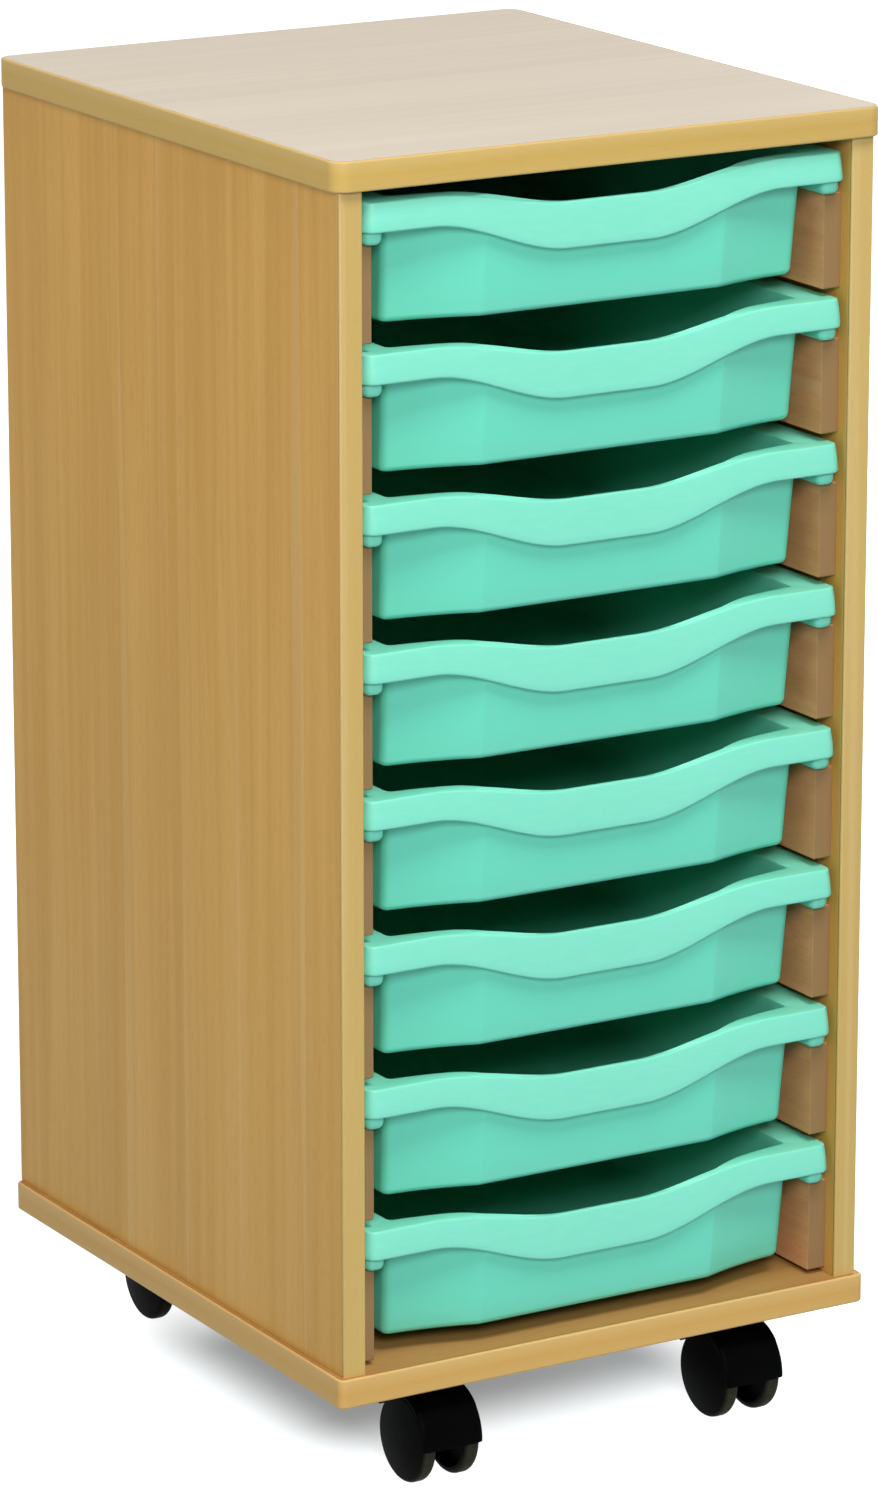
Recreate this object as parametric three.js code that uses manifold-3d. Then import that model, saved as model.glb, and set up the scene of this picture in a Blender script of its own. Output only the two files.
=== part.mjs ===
// Classroom tray storage unit: a beech-faced cabinet on four twin-wheel castors, with a stack of
// shallow plastic trays that slide on wooden runner blocks.
// Millimetres, +Z up, front towards -Y, origin on the floor under the middle of the unit.

import * as THREE from 'three';
import { mergeVertices } from 'three/addons/utils/BufferGeometryUtils.js';
import Module from 'manifold-3d';

const wasm = await Module();
wasm.setup();

// Carcass
const UNIT_WIDTH = 370;
const UNIT_DEPTH = 420;
const PANEL_THICKNESS = 18;
const SIDE_THICKNESS = 15;
const BACK_THICKNESS = 8;
const SIDE_OVERHANG = 4.5;
const FRONT_OVERHANG = 4;
const EDGING_THICKNESS = 2;
const TOP_CORNER_RADIUS = 10;
const BASE_CORNER_RADIUS = 5;

// Tray runners
const TRAY_COUNT = 8;
const RUNNER_HEIGHT = 57;
const RUNNER_THICKNESS = 12;
const RUNNER_SETBACK = 11;
const RUNNER_BACK_GAP = 6;
const SLOT_HEIGHT = 30.5;
const LOWEST_RUNNER_GAP = 3;

// Clearances of a tray in its slot
const SLIDE_CLEARANCE = 0.3;
const SLOT_HEADROOM = 4.8;
const TOP_HEADROOM = 8.3;
const TRAY_SIDE_CLEARANCE = 2.5;
const TRAY_BACK_CLEARANCE = 10;
const TRAY_GAP = 13;
const TRAY_SETBACK = 1;

// Tray moulding
const TRAY_WALL = 2.5;
const RIM_THICKNESS = 2.5;
const RIM_FLARE = 2;
const RIM_EDGE_ROUND = 1.5;
const RIM_CORNER_RADIUS = 8;
const BODY_RUNNER_GAP = 11.5;
const BODY_CORNER_RADIUS = 6;
const BODY_BEHIND_LIP = 1.5;
const BACK_RIM_WIDTH = 12;
const FACET_WIDTH = 55;
const FACET_STEP = 12.7;
const FRONT_DRAFT_DEG = 6;
const SIDE_DRAFT_DEG = 1.5;
const BEAD_DROP = 8;
const BEAD_WIDTH = 12.5;
const BEAD_INSET = 2;
const BEAD_SETBACK = 4;
const BEAD_ROUND = 4;
const LIP_DIP = 11.3;
const LIP_SWELL = 9.8;
const WAVE_SHOULDER = 45;
const WAVE_RUN = 90;

// Castors
const WHEEL_RADIUS = 27;
const WHEEL_WIDTH = 12;
const WHEEL_GAP = 20;
const WHEEL_DISC = 3;
const WHEEL_RIM = 4;
const WHEEL_ROUND = 3;
const HUB_RADIUS = 7;
const AXLE_RADIUS = 3;
const AXLE_END_COVER = 4;
const KINGPIN_RADIUS = 3;
const KINGPIN_LENGTH = 19;
const KINGPIN_FLANGE_RADIUS = 9;
const KINGPIN_FLANGE = 2;
const PIN_CLEARANCE = 0.3;
const SWIVEL_GAP = 0.5;
const WEB_CLEARANCE = 0.5;
const WEB_RADIUS = 8;
const HOOD_CLEARANCE = 1.2;
const HOOD_WALL = 2;
const HOOD_RISE = 3.3;
const HOOD_SIDE_INSET = 1.5;
const HOOD_BACK_DEG = 30;
const HOOD_FRONT_DEG = 180;
const PLATE_SIDE = 42;
const PLATE_THICKNESS = 3;
const PLATE_CORNER_RADIUS = 4;
const CASTOR_TRAIL = 16;
const CASTOR_SIDE_INSET = 78;
const CASTOR_END_INSET = 46.5;

// Facets of curved stretches
const CORNER_STEPS = 3;
const BOARD_CORNER_STEPS = 6;
const TREAD_STEPS = 2;
const FRONT_STEPS = 16;
const FLAT_SHARE = 0.625;
const WHEEL_SEGMENTS = 20;
const PIN_SEGMENTS = 12;
const HOOD_STEPS = 6;

// Heights above the floor
const hoodRadius = WHEEL_RADIUS + HOOD_CLEARANCE + HOOD_WALL;
const hoodTop = WHEEL_RADIUS + hoodRadius + HOOD_RISE;
const kingpinTop = hoodTop + SWIVEL_GAP + KINGPIN_FLANGE;
const baseBottom = kingpinTop + PLATE_THICKNESS;
const baseTop = baseBottom + PANEL_THICKNESS;
const traySpacing = RUNNER_HEIGHT + SLOT_HEIGHT;
const rimHeight = SLOT_HEIGHT - SLOT_HEADROOM - SLIDE_CLEARANCE;
const lowestRunnerTop = baseTop + LOWEST_RUNNER_GAP + RUNNER_HEIGHT;
const highestRunnerTop = lowestRunnerTop + (TRAY_COUNT - 1) * traySpacing;
const topBottom = highestRunnerTop + SLIDE_CLEARANCE + rimHeight + TOP_HEADROOM;

// Plan positions
const frontEdge = -UNIT_DEPTH / 2;
const backEdge = UNIT_DEPTH / 2;
const sideFront = frontEdge + FRONT_OVERHANG;
const sideOuter = UNIT_WIDTH / 2 - SIDE_OVERHANG;
const innerHalf = sideOuter - SIDE_THICKNESS;
const backFace = backEdge - BACK_THICKNESS;
const lipFront = sideFront + TRAY_SETBACK;

// Tray sizes, from the space that the carcass leaves
const trayDepth = backFace - TRAY_BACK_CLEARANCE - lipFront;
const trayHeight = traySpacing - TRAY_GAP;
const rimHalf = innerHalf - TRAY_SIDE_CLEARANCE;
const bodyHalf = innerHalf - RUNNER_THICKNESS - BODY_RUNNER_GAP;
const lipEndHeight = rimHeight - BEAD_DROP;
const frontDraft = Math.tan(THREE.MathUtils.degToRad(FRONT_DRAFT_DEG));
const sideDraft = Math.tan(THREE.MathUtils.degToRad(SIDE_DRAFT_DEG));

// Castor sizes
const wheelInner = WHEEL_GAP / 2;
const wheelOuter = wheelInner + WHEEL_WIDTH;
const webThickness = WHEEL_GAP - 2 * WEB_CLEARANCE;
const pocketRadius = WHEEL_RADIUS + HOOD_CLEARANCE;

function material(color, roughness, metalness) {
  return new THREE.MeshStandardMaterial({ color, roughness, metalness });
}

const beech = material(0xc8a060, 0.5, 0);
const paleBeech = material(0xded0bc, 0.45, 0);
const edgeBand = material(0xd6b070, 0.45, 0);
const runnerWood = material(0xb0865a, 0.6, 0);
const turquoise = material(0x7fdcc2, 0.4, 0);
const blackPlastic = material(0x121212, 0.45, 0);
const steel = material(0xb4b6b8, 0.35, 1);

function part(name, geometry, finish) {
  const mesh = new THREE.Mesh(geometry, finish);
  mesh.name = name;
  return mesh;
}

/** Box geometry between two corners. */
function boxBetween(low, high) {
  const size = high.map((value, axis) => value - low[axis]);
  const middle = high.map((value, axis) => (value + low[axis]) / 2);
  return new THREE.BoxGeometry(...size).translate(...middle);
}

/** Closed geometry to a solid that can be joined and cut. */
function toSolid(geometry) {
  const plain = geometry.index ? geometry.toNonIndexed() : geometry.clone();
  plain.deleteAttribute('normal');
  plain.deleteAttribute('uv');
  const merged = mergeVertices(plain);
  return new wasm.Manifold(new wasm.Mesh({
    numProp: 3,
    vertProperties: new Float32Array(merged.attributes.position.array),
    triVerts: new Uint32Array(merged.index.array),
  }));
}

/** Joined or cut solid back to a geometry. */
function toGeometry(solid) {
  const mesh = solid.getMesh();
  const geometry = new THREE.BufferGeometry();
  geometry.setAttribute('position', new THREE.BufferAttribute(mesh.vertProperties, 3));
  geometry.setIndex(new THREE.BufferAttribute(mesh.triVerts, 1));
  geometry.computeVertexNormals();
  return geometry;
}

/** Rectangle with round corners, centred on the origin. */
function roundedRectangle(width, depth, radius) {
  const x = width / 2;
  const y = depth / 2;
  const shape = new THREE.Shape();
  shape.moveTo(x, radius - y);
  shape.absarc(x - radius, y - radius, radius, 0, Math.PI / 2, false);
  shape.absarc(radius - x, y - radius, radius, Math.PI / 2, Math.PI, false);
  shape.absarc(radius - x, radius - y, radius, Math.PI, Math.PI * 1.5, false);
  shape.absarc(x - radius, radius - y, radius, Math.PI * 1.5, Math.PI * 2, false);
  return shape;
}

function extrude(shape, depth, curveSegments = CORNER_STEPS) {
  return new THREE.ExtrudeGeometry(shape, { depth, curveSegments, bevelEnabled: false });
}

/** Outline drawn across Y and Z, extruded along X and centred on X = 0. */
function extrudeAcross(shape, width, curveSegments) {
  const across = new THREE.Matrix4().makeBasis(
    new THREE.Vector3(0, 1, 0),
    new THREE.Vector3(0, 0, 1),
    new THREE.Vector3(1, 0, 0),
  );
  return extrude(shape, width, curveSegments).applyMatrix4(across).translate(-width / 2, 0, 0);
}

/** Outline drawn across X and Z, extruded along Y from front to back. */
function extrudeBack(shape, front, back, curveSegments) {
  const lengthwise = new THREE.Matrix4().makeBasis(
    new THREE.Vector3(1, 0, 0),
    new THREE.Vector3(0, 0, 1),
    new THREE.Vector3(0, -1, 0),
  );
  return extrude(shape, back - front, curveSegments).applyMatrix4(lengthwise).translate(0, back, 0);
}

/**
 * Skin over a stack of rings with equal point counts, each anticlockwise seen from above.
 * An open stack is closed by a fan on its first and last ring, and a looped stack joins them.
 */
function loft(rings, looped) {
  const count = rings[0].length;
  const position = rings.flat().flatMap((point) => point.toArray());
  const index = [];
  const bands = looped ? rings.length : rings.length - 1;
  for (let ring = 0; ring < bands; ring += 1) {
    const lower = ring * count;
    const upper = ((ring + 1) % rings.length) * count;
    for (let i = 0; i < count; i += 1) {
      const next = (i + 1) % count;
      index.push(lower + i, lower + next, upper + next);
      index.push(lower + i, upper + next, upper + i);
    }
  }
  if (!looped) {
    const last = (rings.length - 1) * count;
    for (let i = 1; i < count - 1; i += 1) {
      index.push(0, i + 1, i);
      index.push(last, last + i, last + i + 1);
    }
  }
  const geometry = new THREE.BufferGeometry();
  geometry.setAttribute('position', new THREE.Float32BufferAttribute(position, 3));
  geometry.setIndex(index);
  return geometry;
}

/**
 * Plan outline of a tray: a straight or faceted front edge, then round corners and a straight back.
 * `step` is how far the ends of the front edge lie behind its flat middle.
 */
function trayOutline({ half, front, back, corner, step, flat }) {
  const end = half - corner;
  const points = [];
  for (let i = 0; i <= FRONT_STEPS; i += 1) {
    const share = (2 * i) / FRONT_STEPS - 1;
    const along = Math.max(0, (Math.abs(share) - FLAT_SHARE) / (1 - FLAT_SHARE));
    const across = Math.min(Math.abs(share) / FLAT_SHARE, 1) * flat + along * (end - flat);
    points.push(new THREE.Vector2(Math.sign(share) * across, front + along * step));
  }
  const corners = [
    { x: end, y: front + step + corner, from: -90, first: 1, last: CORNER_STEPS },
    { x: end, y: back - corner, from: 0, first: 0, last: CORNER_STEPS },
    { x: -end, y: back - corner, from: 90, first: 0, last: CORNER_STEPS },
    { x: -end, y: front + step + corner, from: 180, first: 0, last: CORNER_STEPS - 1 },
  ];
  for (const { x, y, from, first, last } of corners) {
    for (let i = first; i <= last; i += 1) {
      const angle = THREE.MathUtils.degToRad(from + (90 * i) / CORNER_STEPS);
      points.push(new THREE.Vector2(x + corner * Math.cos(angle), y + corner * Math.sin(angle)));
    }
  }
  return points;
}

/** Outline of the rim, `inset` inside the foot of its flared skirt. */
function rimOutline(inset) {
  const corner = RIM_CORNER_RADIUS;
  const half = rimHalf - inset;
  const flat = (half - corner) * FLAT_SHARE;
  return trayOutline({ half, front: inset, back: trayDepth - inset, corner, step: 0, flat });
}

/** Outline of the tapered body, `drop` below the rim and `inset` inside its outer face. */
function bodyOutline(drop, inset) {
  const taper = drop * sideDraft + inset;
  const half = bodyHalf - taper;
  const flat = bodyHalf - BODY_CORNER_RADIUS - FACET_WIDTH;
  return trayOutline({
    half,
    front: BODY_BEHIND_LIP + drop * frontDraft + inset,
    back: trayDepth - BACK_RIM_WIDTH - taper,
    corner: BODY_CORNER_RADIUS,
    step: FACET_STEP,
    flat,
  });
}

/** Share of the lip's wave at a place along it: 1 in the middle, 0 at its shoulders. */
function wave(x) {
  const shoulder = rimHalf - WAVE_SHOULDER;
  return 1 - THREE.MathUtils.smoothstep(Math.abs(x), shoulder - WAVE_RUN, shoulder);
}

const lipWaves = rimOutline(0).map((point) => wave(point.x));

/** Ring on the rim, at a height given for each point's share of the wave. */
function rimRing(height, inset) {
  const outline = rimOutline(inset);
  return lipWaves.map((share, i) => new THREE.Vector3(outline[i].x, outline[i].y, height(share)));
}

/** Ring on the tapered body, at a height given for each point's share of the wave. */
function bodyRing(height, inset) {
  return lipWaves.map((share, i) => {
    const level = height(share);
    const point = bodyOutline(rimHeight - level, inset)[i];
    return new THREE.Vector3(point.x, point.y, level);
  });
}

/**
 * Tray with its origin at the front of the lip, on the runners that its side beads slide on.
 * The body and rim are joined as a blank with thick walls, and the hollow trims it inside.
 */
function trayGeometry() {
  const rimTop = (share) => rimHeight - LIP_DIP * share;
  const rimUnder = (share) => rimTop(share) - RIM_THICKNESS;
  const rimMiddle = (share) => rimTop(share) - RIM_THICKNESS / 2;
  const lipFoot = (share) => rimHeight - lipEndHeight - (LIP_DIP + LIP_SWELL) * share;
  const floorUnder = rimHeight - trayHeight;
  const blank = TRAY_WALL + RIM_THICKNESS / 2;

  const body = toSolid(loft([
    bodyRing(() => floorUnder, 0),
    bodyRing(rimMiddle, 0),
    bodyRing(rimMiddle, blank),
    bodyRing(() => floorUnder + blank, blank),
  ], false));
  const rim = toSolid(loft([
    rimRing(lipFoot, 0),
    rimRing((share) => rimTop(share) - RIM_EDGE_ROUND, RIM_FLARE),
    rimRing(rimTop, RIM_FLARE + RIM_EDGE_ROUND),
    bodyRing(rimTop, blank),
    bodyRing(rimUnder, blank),
    rimRing(rimUnder, RIM_FLARE + RIM_THICKNESS),
    rimRing(lipFoot, RIM_THICKNESS),
  ], true));
  const hollow = toSolid(loft([
    bodyRing(() => floorUnder + TRAY_WALL, TRAY_WALL),
    bodyRing(() => rimHeight + RIM_THICKNESS, TRAY_WALL),
  ], false));
  let tray = body.add(rim).subtract(hollow);
  for (const side of [-1, 1]) {
    const { bead, groove } = sideBead(side);
    tray = tray.add(bead).subtract(groove);
  }
  return toGeometry(tray);
}

/** Bead under one side of the rim, which slides on the runner, and the groove that hollows it. */
function sideBead(side) {
  const outer = rimHalf - BEAD_INSET;
  const inner = outer - BEAD_WIDTH;
  const front = BEAD_SETBACK;
  const back = trayDepth - BEAD_SETBACK;
  const middle = (side * (outer + inner)) / 2;
  const half = BEAD_WIDTH / 2;
  const section = new THREE.Shape();
  section.moveTo(half, rimHeight - RIM_THICKNESS / 2);
  section.lineTo(-half, rimHeight - RIM_THICKNESS / 2);
  section.lineTo(-half, BEAD_ROUND);
  section.absarc(BEAD_ROUND - half, BEAD_ROUND, BEAD_ROUND, Math.PI, Math.PI * 1.5, false);
  section.absarc(half - BEAD_ROUND, BEAD_ROUND, BEAD_ROUND, Math.PI * 1.5, Math.PI * 2, false);
  const bead = extrudeBack(section, front, back);
  const grooveHalf = half - TRAY_WALL;
  const groove = boxBetween(
    [-grooveHalf, front + TRAY_WALL, -BEAD_ROUND],
    [grooveHalf, back - TRAY_WALL, rimHeight - RIM_THICKNESS - TRAY_WALL],
  );
  return {
    bead: toSolid(bead.translate(middle, 0, 0)),
    groove: toSolid(groove.translate(middle, 0, 0)),
  };
}

/** Board with round corners and its edge band, standing on a height. */
function edgedBoard(name, bottom, cornerRadius, finish) {
  const board = roundedRectangle(
    UNIT_WIDTH - 2 * EDGING_THICKNESS,
    UNIT_DEPTH - 2 * EDGING_THICKNESS,
    cornerRadius - EDGING_THICKNESS,
  );
  const band = roundedRectangle(UNIT_WIDTH, UNIT_DEPTH, cornerRadius);
  band.holes.push(board);
  const [panel, edging] = [board, band].map((shape) => (
    extrude(shape, PANEL_THICKNESS, BOARD_CORNER_STEPS).translate(0, 0, bottom)
  ));
  return [part(`${name}_panel`, panel, finish), part(`${name}_edging`, edging, edgeBand)];
}

/** Side board with its front edge band and its stack of runners. */
function sideWall(name, side) {
  const group = new THREE.Group();
  const across = [side * innerHalf, side * sideOuter].sort((a, b) => a - b);
  const boardFront = sideFront + EDGING_THICKNESS;
  const board = boxBetween([across[0], boardFront, baseTop], [across[1], backEdge, topBottom]);
  const band = boxBetween([across[0], sideFront, baseTop], [across[1], boardFront, topBottom]);
  group.add(part(`${name}_side`, board, beech));
  group.add(part(`${name}_side_edging`, band, edgeBand));
  const runner = [side * innerHalf, side * (innerHalf - RUNNER_THICKNESS)].sort((a, b) => a - b);
  for (let i = 0; i < TRAY_COUNT; i += 1) {
    const top = highestRunnerTop - i * traySpacing;
    const block = boxBetween(
      [runner[0], sideFront + RUNNER_SETBACK, top - RUNNER_HEIGHT],
      [runner[1], backFace - RUNNER_BACK_GAP, top],
    );
    group.add(part(`${name}_runner_${i + 1}`, block, runnerWood));
  }
  return group;
}

/** Stack of trays, the first at the top. */
function trays() {
  const group = new THREE.Group();
  const geometry = trayGeometry();
  for (let i = 0; i < TRAY_COUNT; i += 1) {
    const tray = part(`tray_${i + 1}`, geometry, turquoise);
    tray.position.set(0, lipFront, highestRunnerTop - i * traySpacing + SLIDE_CLEARANCE);
    group.add(tray);
  }
  return group;
}

/** Turned geometry about X, from a profile of radius against place along X. */
function turnedAlongX(profile, segments) {
  const points = profile.map(([radius, along]) => new THREE.Vector2(radius, along));
  return new THREE.LatheGeometry(points, segments).rotateZ(-Math.PI / 2);
}

/** Turned geometry about Z, from a profile of radius against height. */
function turnedAlongZ(profile, segments) {
  const points = profile.map(([radius, height]) => new THREE.Vector2(radius, height));
  return new THREE.LatheGeometry(points, segments).rotateX(Math.PI / 2);
}

/** Dished wheel whose closed disc faces +X, with X = 0 midway between the two wheels. */
function wheelGeometry() {
  const boreRadius = AXLE_RADIUS + PIN_CLEARANCE;
  const boreEnd = wheelOuter - AXLE_END_COVER + PIN_CLEARANCE;
  const discInner = wheelOuter - WHEEL_DISC;
  const rimInner = WHEEL_RADIUS - WHEEL_RIM;
  const profile = [
    [0, boreEnd],
    [boreRadius, boreEnd],
    [boreRadius, wheelInner],
    [HUB_RADIUS, wheelInner],
    [HUB_RADIUS, discInner],
    [rimInner, discInner],
    [rimInner, wheelInner],
  ];
  const roundEdges = [
    { along: wheelInner + WHEEL_ROUND, from: -90 },
    { along: wheelOuter - WHEEL_ROUND, from: 0 },
  ];
  for (const { along, from } of roundEdges) {
    for (let i = 0; i <= TREAD_STEPS; i += 1) {
      const angle = THREE.MathUtils.degToRad(from + (90 * i) / TREAD_STEPS);
      profile.push([
        WHEEL_RADIUS - WHEEL_ROUND + WHEEL_ROUND * Math.cos(angle),
        along + WHEEL_ROUND * Math.sin(angle),
      ]);
    }
  }
  profile.push([0, wheelOuter]);
  return turnedAlongX(profile, WHEEL_SEGMENTS);
}

/** Steel axle, pressed through the hood's web, with a wheel on each end. */
function axleGeometry() {
  const end = wheelOuter - AXLE_END_COVER;
  return turnedAlongX([[0, -end], [AXLE_RADIUS, -end], [AXLE_RADIUS, end], [0, end]], PIN_SEGMENTS);
}

/** Swivel pin with the flange that carries the plate. */
function kingpinGeometry() {
  const flangeUnder = kingpinTop - KINGPIN_FLANGE;
  const foot = flangeUnder - KINGPIN_LENGTH;
  return turnedAlongZ([
    [0, foot],
    [KINGPIN_RADIUS, foot],
    [KINGPIN_RADIUS, flangeUnder],
    [KINGPIN_FLANGE_RADIUS, flangeUnder],
    [KINGPIN_FLANGE_RADIUS, kingpinTop],
    [0, kingpinTop],
  ], PIN_SEGMENTS);
}

/** Upright round bar, centred on the origin. */
function uprightBar(radius, length) {
  return new THREE.CylinderGeometry(radius, radius, length, PIN_SEGMENTS).rotateX(Math.PI / 2);
}

/** Round bar along X, centred on the origin. */
function crossBar(radius, length, segments) {
  return new THREE.CylinderGeometry(radius, radius, length, segments).rotateZ(Math.PI / 2);
}

/** Hood over both wheels, with the web between them that holds the axle and the swivel pin. */
function hoodGeometry() {
  const axleY = -CASTOR_TRAIL;
  const axleZ = WHEEL_RADIUS;
  const back = THREE.MathUtils.degToRad(HOOD_BACK_DEG);
  const front = THREE.MathUtils.degToRad(HOOD_FRONT_DEG);
  const canopy = new THREE.Shape();
  canopy.absarc(axleY, axleZ, hoodRadius, back, front, false);
  canopy.absarc(axleY, axleZ, pocketRadius, front, back, true);
  const web = new THREE.Shape();
  web.absarc(axleY, axleZ, (hoodRadius + pocketRadius) / 2, back, front, false);
  web.absarc(axleY, axleZ, WEB_RADIUS, Math.PI, Math.PI * 2, false);

  const bossFoot = axleZ + WEB_RADIUS;
  const bossHeight = hoodTop - bossFoot;
  const boss = uprightBar(KINGPIN_FLANGE_RADIUS, bossHeight);
  boss.translate(0, 0, bossFoot + bossHeight / 2);
  const pinFoot = kingpinTop - KINGPIN_FLANGE - KINGPIN_LENGTH - PIN_CLEARANCE;
  const pinBore = uprightBar(KINGPIN_RADIUS + PIN_CLEARANCE, bossHeight);
  pinBore.translate(0, 0, pinFoot + bossHeight / 2);
  const axleBore = crossBar(AXLE_RADIUS + PIN_CLEARANCE, WHEEL_GAP, PIN_SEGMENTS);
  axleBore.translate(0, axleY, axleZ);

  let head = toSolid(boss);
  for (const side of [-1, 1]) {
    const pocket = crossBar(pocketRadius, WHEEL_WIDTH, WHEEL_SEGMENTS);
    pocket.translate(side * (webThickness / 2 + WHEEL_WIDTH / 2), axleY, axleZ);
    head = head.subtract(toSolid(pocket));
  }
  const canopyWidth = 2 * (wheelOuter - HOOD_SIDE_INSET);
  const hood = toSolid(extrudeAcross(canopy, canopyWidth, HOOD_STEPS))
    .add(toSolid(extrudeAcross(web, webThickness, HOOD_STEPS)))
    .add(head)
    .subtract(toSolid(pinBore))
    .subtract(toSolid(axleBore));
  return toGeometry(hood);
}

/** Castor plate, screwed under the base. */
function plateGeometry() {
  const outline = roundedRectangle(PLATE_SIDE, PLATE_SIDE, PLATE_CORNER_RADIUS);
  return extrude(outline, PLATE_THICKNESS).translate(0, 0, kingpinTop);
}

/** The four castors, all with their wheels trailing towards the front. */
function castors() {
  const shapes = {
    plate: plateGeometry(),
    kingpin: kingpinGeometry(),
    hood: hoodGeometry(),
    axle: axleGeometry(),
    wheel: wheelGeometry(),
  };
  const group = new THREE.Group();
  for (const [end, endSign] of [['front', -1], ['back', 1]]) {
    for (const [side, sideSign] of [['left', -1], ['right', 1]]) {
      const castor = new THREE.Group();
      const name = `${end}_${side}_castor`;
      const x = sideSign * (UNIT_WIDTH / 2 - CASTOR_SIDE_INSET);
      castor.position.set(x, endSign * (UNIT_DEPTH / 2 - CASTOR_END_INSET), 0);
      castor.add(part(`${name}_plate`, shapes.plate, steel));
      castor.add(part(`${name}_kingpin`, shapes.kingpin, steel));
      castor.add(part(`${name}_hood`, shapes.hood, blackPlastic));
      const axle = part(`${name}_axle`, shapes.axle, steel);
      axle.position.set(0, -CASTOR_TRAIL, WHEEL_RADIUS);
      castor.add(axle);
      const rightWheel = part(`${name}_right_wheel`, shapes.wheel, blackPlastic);
      rightWheel.position.copy(axle.position);
      const leftWheel = part(`${name}_left_wheel`, shapes.wheel, blackPlastic);
      leftWheel.position.copy(axle.position);
      leftWheel.rotation.z = Math.PI;
      castor.add(rightWheel, leftWheel);
      group.add(castor);
    }
  }
  return group;
}

const backBoard = boxBetween([-innerHalf, backFace, baseTop], [innerHalf, backEdge, topBottom]);

const unit = new THREE.Group();
unit.add(...edgedBoard('top', topBottom, TOP_CORNER_RADIUS, paleBeech));
unit.add(...edgedBoard('base', baseBottom, BASE_CORNER_RADIUS, beech));
unit.add(sideWall('left', -1), sideWall('right', 1));
unit.add(part('back_panel', backBoard, beech));
unit.add(trays(), castors());

export default unit;
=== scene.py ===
"""Looks of a classroom tray storage unit: boards, edge bands, moulded trays, castors and fasteners."""

import logging
import math
from dataclasses import dataclass, field
from enum import Enum
from typing import Any

import bpy
import numpy as np
from mathutils import Matrix, Vector


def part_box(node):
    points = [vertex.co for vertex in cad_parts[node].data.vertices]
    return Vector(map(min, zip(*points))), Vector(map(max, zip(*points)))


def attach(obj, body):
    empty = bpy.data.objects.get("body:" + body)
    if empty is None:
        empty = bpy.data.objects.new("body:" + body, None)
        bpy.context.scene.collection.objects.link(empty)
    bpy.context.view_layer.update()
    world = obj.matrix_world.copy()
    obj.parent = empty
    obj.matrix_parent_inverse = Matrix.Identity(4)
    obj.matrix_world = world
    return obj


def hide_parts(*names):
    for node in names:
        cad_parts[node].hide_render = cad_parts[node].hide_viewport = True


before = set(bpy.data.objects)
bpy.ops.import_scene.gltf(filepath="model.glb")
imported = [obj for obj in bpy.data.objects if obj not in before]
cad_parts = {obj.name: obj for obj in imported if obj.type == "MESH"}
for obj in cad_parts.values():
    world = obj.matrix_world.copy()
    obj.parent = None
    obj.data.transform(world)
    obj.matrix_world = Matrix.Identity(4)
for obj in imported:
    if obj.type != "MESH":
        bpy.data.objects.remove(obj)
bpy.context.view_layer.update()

MM = 0.001
LOG = logging.getLogger("tray_unit")


class Grain(Enum):
    """Axes of the unit that a wood pattern is drawn out along."""

    ACROSS = (0,)
    BACKWARDS = (1,)
    UPRIGHT = (2,)
    LEVEL = (0, 1)

    def scale(self, stretch: float) -> tuple[float, ...]:
        """Texture scale that lengthens a pattern `stretch` times along the grain."""
        return tuple(1.0 / stretch if axis in self.value else 1.0 for axis in range(3))


class Slot(Enum):
    """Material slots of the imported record."""

    BEECH = "beech_board"
    PALE = "pale_board"
    EDGE = "edge_band"
    RUNNER = "runner_wood"
    TRAY = "tray_plastic"
    CASTOR = "castor_plastic"
    STEEL = "castor_steel"


def tone(code: str) -> tuple[float, float, float, float]:
    """Linear colour of a display colour.

    Args:
        code: Six hexadecimal digits, red first.

    Returns:
        Red, green, blue and alpha, from 0 to 1.
    """
    shares = [int(code[i:i + 2], 16) / 255 for i in (0, 2, 4)]
    linear = [s / 12.92 if s <= 0.04045 else ((s + 0.055) / 1.055) ** 2.4 for s in shares]
    return (*linear, 1.0)


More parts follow.
